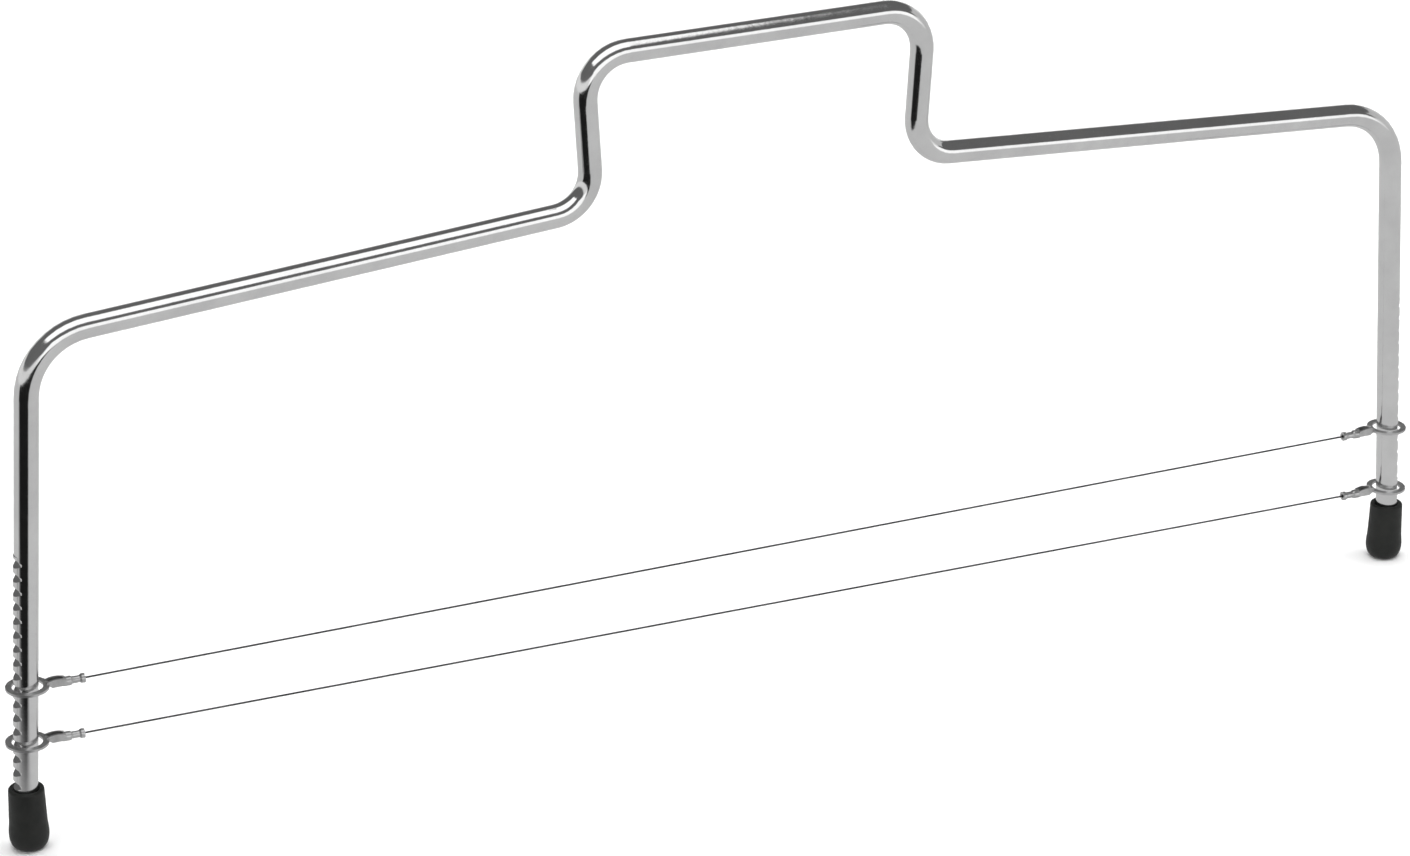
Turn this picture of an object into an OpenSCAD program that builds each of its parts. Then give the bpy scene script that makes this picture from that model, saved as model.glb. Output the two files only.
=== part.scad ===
// Two-wire cake leveler. One bent steel rod stands on two rubber feet and carries two thin
// cutting wires. Each wire is held at both ends by a crimped ring lug that sits round a leg,
// in one of the notches cut across the leg's outer face.
// X runs along the wires, Y is the thin direction and Z points up. The origin lies on the
// standing surface, midway between the feet.

/* [Frame] */
// Distance between the leg centre lines at floor level
foot_spacing = 330; // [260:1:420]
// Diameter of the rod
rod_d = 5; // [4:0.1:6]
// Lean of each leg, outwards going down, in degrees
leg_lean = 3.65; // [2:0.05:5]
// Height of the leg corners on the rod's centre line
shoulder_z = 110.8; // [95:0.1:150]
// Rise of each shoulder towards the grip, in degrees
shoulder_rise = 3.9; // [0:0.1:8]
// Height of the grip on the rod's centre line
grip_z = 151.8; // [140:0.1:190]
// Distance between the two corners where the shoulders turn up to the grip
grip_w = 74.4; // [60:0.1:110]
// Lean of the grip's sides, outwards going up, in degrees
grip_lean = 3.4; // [0:0.1:8]
// Bend radius at the leg corners, on the centre line
leg_bend_r = 13.8; // [8:0.1:20]
// Bend radius where a shoulder turns up to the grip
shoulder_bend_r = 8.5; // [6:0.1:12]
// Bend radius at the two corners of the grip
grip_bend_r = 9.2; // [6:0.1:12]

/* [Notches] */
// Number of notches on each leg
notch_count = 17; // [16:1:18]
// Spacing of the notches, measured upright
notch_pitch = 3.076; // [2.9:0.002:3.3]
// Height of the top notch on the leg's centre line
top_notch_z = 63.6; // [63:0.1:75]
// Depth of a notch below the rod's surface
notch_depth = 1; // [0.6:0.05:1.3]
// Length of the flat floor of a notch, along the leg
notch_floor = 0.5; // [0.3:0.05:0.8]
// Slope of a notch's flanks from square to the leg, in degrees
notch_flank = 34; // [20:1:40]
// How far the swaged crests stand proud of the rod
crest_rise = 0.15; // [0.05:0.01:0.2]
// Diameter of the narrow round back that the crests share
crest_d = 3.8; // [3:0.1:4]

/* [Feet] */
// Height of a foot cap
cap_h = 13.35; // [11:0.05:14]
// Thickness of the rubber under the end of the leg
cap_floor = 2.2; // [1.5:0.1:4]
// Diameter of the flat that a foot stands on
cap_flat_d = 5.4; // [4:0.1:6]
// Rubber wall round the leg at the top of the sleeve
sleeve_top_wall = 1.2; // [1:0.05:2]
// Rubber wall round the leg at the bottom of the sleeve
sleeve_low_wall = 1.42; // [1.2:0.02:2.4]
// How far the foot swells beyond the sleeve
foot_swell = 0.22; // [0.1:0.02:0.6]
// Height of the widest part of the foot
foot_z = 3.2; // [2:0.1:5]
// Height at which the sleeve starts
sleeve_z = 6.2; // [5.5:0.1:8]
// Rounding of the rim
rim_round = 0.45; // [0.2:0.05:0.6]
// Width and depth of the lead-in at the mouth of the bore
lead_in = 0.35; // [0.1:0.05:0.4]
// Clearance all round between the leg and the bore of its cap
cap_fit = 0.03; // [0.01:0.01:0.1]

/* [Wires] */
// Diameter of a cutting wire
wire_d = 0.4; // [0.3:0.02:0.5]
// Notch that the upper wire's left lug sits in, counted from the top
upper_left_notch = 10; // [8:1:11]
// Notch that the upper wire's right lug sits in
upper_right_notch = 11; // [8:1:11]
// Notch that the lower wire's left lug sits in
lower_left_notch = 14; // [14:1:16]
// Notch that the lower wire's right lug sits in
lower_right_notch = 16; // [14:1:16]

/* [Ring lugs] */
// Thickness of the sheet that a lug is stamped from
sheet = 0.5; // [0.4:0.02:0.6]
// Play of the ring on the leg towards the outside, beyond the crests
outer_play = 0.3; // [0.25:0.01:0.5]
// Play of the ring on the leg towards the wire
inner_play = 0.95; // [0.9:0.01:1.4]
// Width of the ring's band round its hole
ring_band = 1.25; // [0.9:0.05:1.6]
// Height of the ring's middle above the wire's axis
ring_lift = 0.35; // [0.2:0.05:0.5]
// Distance from the leg's axis to the end of the sloping step behind the ring
step_end = 5.2; // [4.9:0.1:6]
// Width of the channel-shaped neck
neck_w = 2; // [1.6:0.1:2.4]
// Height of the neck's walls above the wire's axis, at their ends
wall_end_h = 0.85; // [0.6:0.05:1]
// Extra height of the arched walls at the middle of the neck
wall_arch = 0.35; // [0:0.05:0.6]
// Distance from the leg's axis to the start of the barrel
barrel_start = 7.7; // [7.2:0.1:9]
// Length of the barrel
barrel_l = 4.5; // [4:0.1:6]
// Outer diameter of the barrel
barrel_d = 2; // [1.8:0.05:2.4]
// Inner diameter of the barrel where it isn't crimped
barrel_bore = 1; // [0.8:0.05:1.2]
// Distance from the start of the barrel to the crimp
crimp_start = 1.9; // [1.5:0.1:2.4]
// Length of the crimp
crimp_l = 1.5; // [1:0.1:1.8]
// Outer diameter at the crimp
crimp_d = 1.5; // [1.3:0.05:1.7]
// Clearance all round between the crimp and the wire
crimp_fit = 0.01; // [0.01:0.01:0.03]

/* [Hidden] */

$fn = 48;
rod_r = rod_d / 2;
crest_r = rod_r + crest_rise;
hole_r = (outer_play + crest_r + inner_play + rod_r) / 2;
hole_x = hole_r - crest_r - outer_play;
ring_r = hole_r + ring_band;
crimp_slope = 0.35;
bend_swell = 0.01;
bend_grip = 0.05;
wire_inset = barrel_start + crimp_start - 2 * crimp_slope;
cut_reach = 1;
arc_steps = 8;

// X of the right leg's centre line at height z
function leg_x(z) = foot_spacing / 2 - z * tan(leg_lean);

// Height of notch k on the leg's centre line, counted from the top
function notch_z(k) = top_notch_z - (k - 1) * notch_pitch;

// Heading from p to q in the XZ plane, in degrees, and the turn between two headings
function heading(p, q) = atan2(q[1] - p[1], q[0] - p[0]);
function turn(a, b) = (b - a + 540) % 360 - 180;

// Corner points of the right half of the rod's centre line, from the foot to the grip
shoulder_foot_z = shoulder_z + (leg_x(shoulder_z) - grip_w / 2) * tan(shoulder_rise);
grip_corner_x = grip_w / 2 + (grip_z - shoulder_foot_z) * tan(grip_lean);
half_path = [
    [leg_x(cap_floor), cap_floor],
    [leg_x(shoulder_z), shoulder_z],
    [grip_w / 2, shoulder_foot_z],
    [grip_corner_x, grip_z]
];
half_bends = [0, leg_bend_r, shoulder_bend_r, grip_bend_r];
path = concat([for (p = half_path) [-p[0], p[1]]], [for (i = [3:-1:0]) half_path[i]]);
bends = concat(half_bends, [for (i = [3:-1:0]) half_bends[i]]);
last = len(path) - 1;

function heading_at(i) = heading(path[i], path[i + 1]);
function turn_at(i) = turn(heading_at(i - 1), heading_at(i));
function trim_at(i) = bends[i] == 0 ? 0 : bends[i] * tan(abs(turn_at(i)) / 2);
function grip_at(i) = bends[i] == 0 ? 0 : bend_grip;

// Straight stretch of the rod from corner i to the next, between the bends at both ends. Bending
// swells the rod by a hair, and a straight ends just inside a bend, where that makes a clean edge
module straight(i) {
    start = trim_at(i) - grip_at(i);
    end = norm(path[i + 1] - path[i]) - trim_at(i + 1) + grip_at(i + 1);
    translate([path[i][0], 0, path[i][1]])
        rotate([0, 90 - heading_at(i), 0])
            translate([0, 0, start])
                cylinder(d = rod_d - bend_swell, h = end - start);
}

// Bend of the rod at corner i
module bend(i) {
    side = sign(turn_at(i));
    along = heading_at(i - 1);
    start = path[i] - trim_at(i) * [cos(along), sin(along)];
    centre = start + side * bends[i] * [-sin(along), cos(along)];
    first = side > 0 ? along - 90 : heading_at(i) + 90;
    translate([centre[0], 0, centre[1]])
        rotate([90, 0, 0])
            rotate([0, 0, first])
                rotate_extrude(angle = abs(turn_at(i)))
                    translate([bends[i], 0])
                        circle(d = rod_d);
}

// Places its children on a leg's axis at height z, +X outwards and +Z up the leg
module on_leg(side, z) {
    rotate([0, 0, side > 0 ? 0 : 180])
        translate([leg_x(z), 0, z])
            rotate([0, -leg_lean, 0])
                children();
}

// Narrow round back of the crests, on the outer face of a leg, down to the lowest notch
module crest(side) {
    top = notch_z(1) + notch_pitch / 2;
    length = (top - notch_z(notch_count)) / cos(leg_lean);
    on_leg(side, top)
        translate([crest_r - crest_d / 2, 0, -length])
            cylinder(d = crest_d, h = length);
}

// One notch across the outer face of a leg
module notch_cut(side, k) {
    mouth = notch_floor + 2 * (notch_depth + cut_reach) * tan(notch_flank);
    on_leg(side, notch_z(k))
        translate([rod_r, 0, 0])
            rotate([90, 0, 0])
                linear_extrude(height = rod_d + cut_reach, center = true)
                    polygon([
                        [-notch_depth, -notch_floor / 2],
                        [cut_reach, -mouth / 2],
                        [cut_reach, mouth / 2],
                        [-notch_depth, notch_floor / 2]
                    ]);
}

// The bent and notched rod, from the end of one leg to the end of the other
module frame_rod() {
    color("silver")
        difference() {
            union() {
                for (i = [0:last - 1]) straight(i);
                for (i = [1:last - 1]) bend(i);
                for (side = [-1, 1]) crest(side);
            }
            for (side = [-1, 1], k = [1:notch_count]) notch_cut(side, k);
        }
}

// Half outline of a foot cap, from the middle of its flat to its rim
sleeve_low_r = rod_r + sleeve_low_wall;
sleeve_top_r = rod_r + sleeve_top_wall;
foot_r = sleeve_low_r + foot_swell;
flat_r = cap_flat_d / 2;
cap_outline = concat(
    [[0, 0]],
    [for (i = [0:arc_steps]) let (a = 90 * i / arc_steps)
        [flat_r + (foot_r - flat_r) * sin(a), foot_z * (1 - cos(a))]],
    [for (i = [1:arc_steps]) let (a = 180 * i / arc_steps)
        [foot_r - foot_swell * (1 - cos(a)) / 2, foot_z + (sleeve_z - foot_z) * i / arc_steps]],
    [for (i = [0:arc_steps]) let (a = 90 * i / arc_steps)
        [sleeve_top_r - rim_round * (1 - cos(a)), cap_h - rim_round * (1 - sin(a))]],
    [[0, cap_h]]
);

// Rubber cap: an upright body with a blind bore that leans with the leg
module foot_cap(side) {
    bore_r = rod_r + cap_fit;
    color("dimgray")
        difference() {
            translate([side * leg_x(cap_h), 0, 0])
                rotate_extrude()
                    polygon(cap_outline);
            on_leg(side, cap_floor)
                translate([0, 0, -cap_fit])
                    cylinder(r = bore_r, h = cap_h);
            on_leg(side, cap_h - lead_in)
                cylinder(r1 = bore_r, r2 = bore_r + 2 * lead_in, h = 2 * lead_in);
        }
}

module left_foot_cap() { foot_cap(-1); }
module right_foot_cap() { foot_cap(1); }

// Places its children on the line between two seats, with the origin on the left leg's axis,
// +X towards the right leg and z = 0 at the middle of the rings
module on_line(left_notch, right_notch) {
    left_end = [-leg_x(notch_z(left_notch)), notch_z(left_notch)];
    right_end = [leg_x(notch_z(right_notch)), notch_z(right_notch)];
    translate([left_end[0], 0, left_end[1]])
        rotate([0, -heading(left_end, right_end), 0])
            children();
}

// Distance between the two leg axes along that line
function span(left_notch, right_notch) = norm([
    leg_x(notch_z(left_notch)) + leg_x(notch_z(right_notch)),
    notch_z(left_notch) - notch_z(right_notch)
]);

// Straight wire from inside one barrel to inside the other
module cutting_wire(left_notch, right_notch) {
    color("gray")
        on_line(left_notch, right_notch)
            translate([wire_inset, 0, -ring_lift])
                rotate([0, 90, 0])
                    cylinder(d = wire_d, h = span(left_notch, right_notch) - 2 * wire_inset);
}

module upper_cutting_wire() { cutting_wire(upper_left_notch, upper_right_notch); }
module lower_cutting_wire() { cutting_wire(lower_left_notch, lower_right_notch); }

// Flat ring of a lug, round the leg
module lug_ring() {
    translate([hole_x, 0, -sheet / 2])
        difference() {
            cylinder(r = ring_r, h = sheet);
            translate([0, 0, -cut_reach])
                cylinder(r = hole_r, h = sheet + 2 * cut_reach);
        }
}

// Sheet strip that steps down from the ring and runs on as the floor of the neck
module lug_floor() {
    strip_start = hole_x + hole_r + sheet / 2;
    step_start = hole_x + ring_r - sheet / 2;
    floor_end = barrel_start + sheet;
    rotate([90, 0, 0])
        linear_extrude(height = neck_w, center = true)
            polygon([
                [strip_start, sheet / 2],
                [step_start, sheet / 2],
                [step_end, -ring_lift],
                [floor_end, -ring_lift],
                [floor_end, -ring_lift - sheet],
                [step_end, -ring_lift - sheet],
                [step_start, -sheet / 2],
                [strip_start, -sheet / 2]
            ]);
}

// The neck's two side walls with their arched upper edges
module lug_walls() {
    wall_start = hole_x + hole_r + ring_band / 2;
    wall_l = barrel_start + sheet - wall_start;
    arch = [for (i = [0:arc_steps]) let (t = i / arc_steps)
        [wall_start + wall_l * t, -ring_lift + wall_end_h + wall_arch * sin(180 * t)]];
    outline = concat(
        [[wall_start, -sheet / 2]],
        arch,
        [[barrel_start + sheet, -ring_lift - sheet / 2], [step_end, -ring_lift - sheet / 2]]
    );
    for (side = [-1, 1])
        translate([0, side * (neck_w - sheet) / 2, 0])
            rotate([90, 0, 0])
                linear_extrude(height = sheet, center = true)
                    polygon(outline);
}

// Rolled barrel, squeezed on to the wire at the crimp and flared at its mouth
module lug_barrel() {
    crimp_end = crimp_start + crimp_l;
    grip_r = wire_d / 2 + crimp_fit;
    translate([barrel_start, 0, -ring_lift])
        rotate([0, 90, 0])
            rotate_extrude()
                polygon([
                    [barrel_bore / 2, 0],
                    [barrel_d / 2, 0],
                    [barrel_d / 2, crimp_start - crimp_slope],
                    [crimp_d / 2, crimp_start],
                    [crimp_d / 2, crimp_end],
                    [barrel_d / 2, crimp_end + crimp_slope],
                    [barrel_d / 2, barrel_l],
                    [barrel_bore / 2, barrel_l],
                    [grip_r, crimp_end],
                    [grip_r, crimp_start],
                    [barrel_bore / 2, crimp_start - crimp_slope]
                ]);
}

// Ring lug stamped from one strip of sheet: ring, neck and crimped barrel
module ring_lug() {
    color("gainsboro")
        union() {
            lug_ring();
            lug_floor();
            lug_walls();
            lug_barrel();
        }
}

// The lug at the left or the right end of a wire
module lug_at(side, left_notch, right_notch) {
    on_line(left_notch, right_notch)
        translate([side < 0 ? 0 : span(left_notch, right_notch), 0, 0])
            rotate([0, 0, side < 0 ? 0 : 180])
                ring_lug();
}

module upper_left_ring_lug() { lug_at(-1, upper_left_notch, upper_right_notch); }
module upper_right_ring_lug() { lug_at(1, upper_left_notch, upper_right_notch); }
module lower_left_ring_lug() { lug_at(-1, lower_left_notch, lower_right_notch); }
module lower_right_ring_lug() { lug_at(1, lower_left_notch, lower_right_notch); }

frame_rod();
left_foot_cap();
right_foot_cap();
upper_cutting_wire();
lower_cutting_wire();
upper_left_ring_lug();
upper_right_ring_lug();
lower_left_ring_lug();
lower_right_ring_lug();
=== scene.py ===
"""Looks of the two-wire cake leveler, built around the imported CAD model."""

import math

import bpy
from mathutils import Matrix, Vector

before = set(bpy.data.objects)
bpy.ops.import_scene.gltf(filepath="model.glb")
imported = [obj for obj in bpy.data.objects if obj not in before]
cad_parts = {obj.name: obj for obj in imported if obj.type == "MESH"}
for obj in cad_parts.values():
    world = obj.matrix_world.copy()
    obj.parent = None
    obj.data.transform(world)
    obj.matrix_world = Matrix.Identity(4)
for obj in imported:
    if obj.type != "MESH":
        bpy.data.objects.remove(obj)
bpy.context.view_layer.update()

MM = 0.001

# Camera: the photograph's view, fitted to the outline of the bent rod. Angles are in degrees,
# and pixels are those of the whole photograph
CAMERA_AZIMUTH = 24.704
CAMERA_ELEVATION = 22.855
CAMERA_ROLL = 0.119
AIM = Vector((0, 0, 80)) * MM
AIM_DEPTH = 895.18 * MM
FOCAL_PX = 4217.97
CENTRE_PX = (669.93, 365.55)
AIM_PX = (754.70, 353.48)
IMAGE_PX = (1410, 856)
SENSOR_WIDTH = 36.0
CLIP_START = 0.01
CLIP_END = 20

# Floor that the camera sees
FLOOR_SIZE = 6
FLOOR_ROUGHNESS = 0.9

# Soft lights that shine on the object and the floor: place, target and size in metres, power in watts
LIGHTS = {
    "top_light": ((0.1, 0.2, 1.3), (0, 0, 0.05), (1.6, 1.2), 26),
    "left_light": ((-1.2, -0.5, 0.6), (0, 0, 0.08), (0.5, 1.0), 6),
    "right_light": ((1.2, -0.3, 0.7), (0, 0, 0.08), (0.6, 1.0), 6),
}

# Room round the object: its brightness by height, from 0 straight down, past 0.5 level, to 1 straight up
ROOM_STOPS = [(0.0, 0.3), (0.5, 0.85), (0.6, 0.85), (0.63, 0.14), (1.0, 0.14)]

# Paper that the rod mirrors, just above the floor, and the dark room past its near left corner.
# Going out from the object, the paper fades from light to dark between each pair, in millimetres
PAPER_SIZE = 6
PAPER_LIFT = 0.2 * MM
PAPER_GLOW = 0.62
DARK_GLOW = 0.012
DARK_FADE_X = (-140, -178)
DARK_FADE_Y = (20, -70)

# Light cards that the rod mirrors: place, target and size in metres, and brightness
CARDS = {
    "top_card": ((-0.27, -0.25, 1.15), (-0.27, -0.25, 0), (1.46, 1.0), 1.35),
    "front_card": ((0.6, -1.2, 0.42), (0.6, 0, 0.42), (2.4, 0.6), 1.25),
    "right_card": ((1.2, 0.1, 0.1), (0, 0.1, 0.1), (1.2, 1.2), 0.6),
}


class Nodes:
    """Adds nodes to one node tree and links them."""

    def __init__(self, tree):
        self.tree = tree

    def node(self, kind, **sockets):
        """New node, with values for its sockets by name, where _ stands for a space."""
        made = self.tree.nodes.new(kind)
        for key, value in sockets.items():
            made.inputs[key.replace("_", " ")].default_value = value
        return made

    def link(self, source, target):
        self.tree.links.new(source, target)

    def axes(self, coordinate):
        """X, Y and Z of one kind of texture coordinate, apart."""
        split = self.node("ShaderNodeSeparateXYZ")
        self.link(self.node("ShaderNodeTexCoord").outputs[coordinate], split.inputs["Vector"])
        return split.outputs

    def ramp(self, source, stops):
        """Colour ramp from a value, with (position, grey or colour) stops."""
        ramp = self.node("ShaderNodeValToRGB")
        elements = ramp.color_ramp.elements
        while len(elements) < len(stops):
            elements.new(0.5)
        for element, (position, colour) in zip(elements, stops):
            element.position = position
            if not hasattr(colour, "__len__"):
                colour = (colour, colour, colour)
            element.color = (*colour, 1)
        self.link(source, ramp.inputs["Fac"])
        return ramp.outputs["Color"]


class Surface(Nodes):
    """Material on the principled shader, with noise in the object's own coordinates."""

    def __init__(self, name, **constants):
        self.material = bpy.data.materials.new(name)
        self.material.use_nodes = True
        super().__init__(self.material.node_tree)
        self.shader = self.tree.nodes["Principled BSDF"]
        for key, value in constants.items():
            self.shader.inputs[key.replace("_", " ")].default_value = value

    def noise(self, fineness, detail, stretch):
        """Noise pattern. A stretch under 1 on an axis draws it out along that axis."""
        mapping = self.node("ShaderNodeMapping", Scale=stretch)
        self.link(self.node("ShaderNodeTexCoord").outputs["Object"], mapping.inputs["Vector"])
        noise = self.node("ShaderNodeTexNoise", Scale=fineness, Detail=detail, Roughness=0.6)
        self.link(mapping.outputs["Vector"], noise.inputs["Vector"])
        return noise.outputs["Fac"]

    def vary(self, socket, fineness, detail, low, high, stretch=(1, 1, 1)):
        """Lets noise move one of the shader's values between two (noise, value) stops."""
        pattern = self.noise(fineness, detail, stretch)
        self.link(self.ramp(pattern, [low, high]), self.shader.inputs[socket])

    def bump(self, fineness, detail, depth, strength, stretch=(1, 1, 1)):
        """Fine relief of a depth in millimetres."""
        bump = self.node("ShaderNodeBump", Strength=strength, Distance=depth * MM)
        self.link(self.noise(fineness, detail, stretch), bump.inputs["Height"])
        self.link(bump.outputs["Normal"], self.shader.inputs["Normal"])


class Glow(Nodes):
    """Material that only gives light."""

    def __init__(self, name, strength=1.0):
        self.material = bpy.data.materials.new(name)
        self.material.use_nodes = True
        super().__init__(self.material.node_tree)
        self.tree.nodes.remove(self.tree.nodes["Principled BSDF"])
        self.shader = self.node("ShaderNodeEmission", Strength=strength)
        self.link(self.shader.outputs["Emission"], self.tree.nodes["Material Output"].inputs["Surface"])


def rod_material():
    """Bright plated rod: soft mottling in the plate and small changes of gloss."""
    surface = Surface("bright_rod", Metallic=1.0)
    surface.vary("Base Color", 90, 5, low=(0.3, 0.7), high=(0.7, 0.8))
    surface.vary("Roughness", 400, 6, low=(0.3, 0.08), high=(0.75, 0.16))
    surface.bump(900, 3, depth=0.02, strength=0.5)
    return surface.material


def rubber_material():
    """Moulded black rubber with a fine grain and slightly dusty patches."""
    surface = Surface("black_rubber", Specular_IOR_Level=0.35)
    black = (0.006, 0.007, 0.006)
    dusty = (0.014, 0.015, 0.013)
    surface.vary("Base Color", 180, 5, low=(0.35, black), high=(0.8, dusty))
    surface.vary("Roughness", 600, 5, low=(0.3, 0.42), high=(0.7, 0.58))
    surface.bump(2600, 2, depth=0.03, strength=0.6)
    return surface.material


def lug_material():
    """Soft tin-nickel plate on stamped sheet."""
    surface = Surface("plated_lug", Metallic=1.0)
    surface.vary("Base Color", 500, 5, low=(0.3, 0.48), high=(0.7, 0.68))
    surface.vary("Roughness", 1500, 4, low=(0.3, 0.28), high=(0.7, 0.42))
    surface.bump(3000, 3, depth=0.03, strength=0.5)
    return surface.material


def wire_material():
    """Drawn stainless wire, with marks that run along it."""
    surface = Surface("cutting_wire", Metallic=1.0)
    drawn = (0.05, 1, 1)
    surface.vary("Base Color", 2500, 4, low=(0.3, 0.05), high=(0.7, 0.12), stretch=drawn)
    surface.vary("Roughness", 4000, 4, low=(0.3, 0.3), high=(0.7, 0.45), stretch=drawn)
    surface.bump(6000, 2, depth=0.01, strength=0.5, stretch=(0.03, 1, 1))
    return surface.material


def floor_material():
    """Plain pale paper under the object."""
    surface = Surface("pale_floor", Roughness=FLOOR_ROUGHNESS)
    surface.vary("Base Color", 6, 3, low=(0.3, 0.86), high=(0.7, 0.9))
    return surface.material


def mirrored_paper_material():
    """Light grey paper that falls to a dark room past its near left corner."""
    glow = Glow("mirrored_paper")
    place = glow.axes("Object")
    corner = glow.node("ShaderNodeMath")
    corner.operation = "MULTIPLY"
    for index, (axis, (light, dark)) in enumerate((("X", DARK_FADE_X), ("Y", DARK_FADE_Y))):
        fade = glow.node("ShaderNodeMapRange", From_Min=light * MM, From_Max=dark * MM)
        fade.interpolation_type = "SMOOTHSTEP"
        glow.link(place[axis], fade.inputs["Value"])
        glow.link(fade.outputs["Result"], corner.inputs[index])
    colour = glow.ramp(corner.outputs["Value"], [(0, PAPER_GLOW), (1, DARK_GLOW)])
    glow.link(colour, glow.shader.inputs["Color"])
    return glow.material


def dress(nodes, material):
    """Gives CAD nodes one material all over."""
    for name in nodes:
        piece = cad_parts[name]
        piece.data.materials.clear()
        piece.data.materials.append(material)
        for polygon in piece.data.polygons:
            polygon.material_index = 0


def facing(place, target):
    """Rotation that points an object's -Z axis from its place to a target."""
    return (Vector(target) - Vector(place)).to_track_quat("-Z", "Y").to_euler()


def make_floor():
    bpy.ops.mesh.primitive_plane_add(size=FLOOR_SIZE)
    floor = bpy.context.object
    floor.name = "floor"
    floor.data.materials.append(floor_material())
    floor.visible_glossy = False


def mirrored_plane(name, place, target, size, material):
    """Plane that only reflections see."""
    bpy.ops.mesh.primitive_plane_add(size=1, location=place)
    plane = bpy.context.object
    plane.name = name
    for vertex in plane.data.vertices:
        vertex.co.x *= size[0]
        vertex.co.y *= size[1]
    plane.rotation_euler = facing(place, target)
    plane.data.materials.append(material)
    plane.visible_camera = False
    plane.visible_diffuse = False
    plane.visible_shadow = False
    plane.visible_transmission = False


def make_reflections():
    """The paper and the light cards that the bright rod mirrors."""
    size = (PAPER_SIZE, PAPER_SIZE)
    mirrored_plane("mirrored_paper", (0, 0, PAPER_LIFT), (0, 0, -1), size, mirrored_paper_material())
    for name, (place, target, size, strength) in CARDS.items():
        mirrored_plane(name, place, target, size, Glow(name, strength).material)


def make_room():
    """World whose brightness changes with height alone."""
    world = bpy.data.worlds.new("studio")
    world.use_nodes = True
    nodes = Nodes(world.node_tree)
    height = nodes.node("ShaderNodeMapRange", From_Min=-1)
    nodes.link(nodes.axes("Generated")["Z"], height.inputs["Value"])
    colour = nodes.ramp(height.outputs["Result"], ROOM_STOPS)
    nodes.link(colour, world.node_tree.nodes["Background"].inputs["Color"])
    bpy.context.scene.world = world


def make_lights():
    """Soft lights, hidden from the rod, which mirrors the cards instead."""
    for name, (place, target, size, power) in LIGHTS.items():
        light = bpy.data.lights.new(name, "AREA")
        light.shape = "RECTANGLE"
        light.size, light.size_y = size
        light.energy = power
        holder = bpy.data.objects.new(name, light)
        bpy.context.scene.collection.objects.link(holder)
        holder.location = place
        holder.rotation_euler = facing(place, target)
        holder.visible_glossy = False


def make_camera():
    """Pinhole camera with the fitted direction, distance and focal length."""
    azimuth = math.radians(CAMERA_AZIMUTH)
    elevation = math.radians(CAMERA_ELEVATION)
    forward = Vector((
        math.sin(azimuth) * math.cos(elevation),
        math.cos(azimuth) * math.cos(elevation),
        -math.sin(elevation),
    ))
    level_right = Vector((math.cos(azimuth), -math.sin(azimuth), 0))
    right = Matrix.Rotation(math.radians(CAMERA_ROLL), 3, forward) @ level_right
    up = right.cross(forward)
    across = (AIM_PX[0] - CENTRE_PX[0]) / FOCAL_PX * AIM_DEPTH
    down = (AIM_PX[1] - CENTRE_PX[1]) / FOCAL_PX * AIM_DEPTH
    place = AIM - forward * AIM_DEPTH - right * across + up * down
    camera = bpy.data.cameras.new("camera")
    camera.sensor_width = SENSOR_WIDTH
    camera.lens = FOCAL_PX / IMAGE_PX[0] * SENSOR_WIDTH
    camera.shift_x = (IMAGE_PX[0] / 2 - CENTRE_PX[0]) / IMAGE_PX[0]
    camera.shift_y = (CENTRE_PX[1] - IMAGE_PX[1] / 2) / IMAGE_PX[0]
    camera.clip_start = CLIP_START
    camera.clip_end = CLIP_END
    holder = bpy.data.objects.new("camera", camera)
    bpy.context.scene.collection.objects.link(holder)
    turn = Matrix((right, up, -forward)).transposed()
    holder.matrix_world = Matrix.Translation(place) @ turn.to_4x4()
    bpy.context.scene.camera = holder
    bpy.context.scene.view_settings.view_transform = "Standard"


lugs = ["upper_left_ring_lug", "upper_right_ring_lug", "lower_left_ring_lug", "lower_right_ring_lug"]
dress(["frame_rod"], rod_material())
dress(["left_foot_cap", "right_foot_cap"], rubber_material())
dress(["upper_cutting_wire", "lower_cutting_wire"], wire_material())
dress(lugs, lug_material())
make_floor()
make_room()
make_reflections()
make_lights()
make_camera()
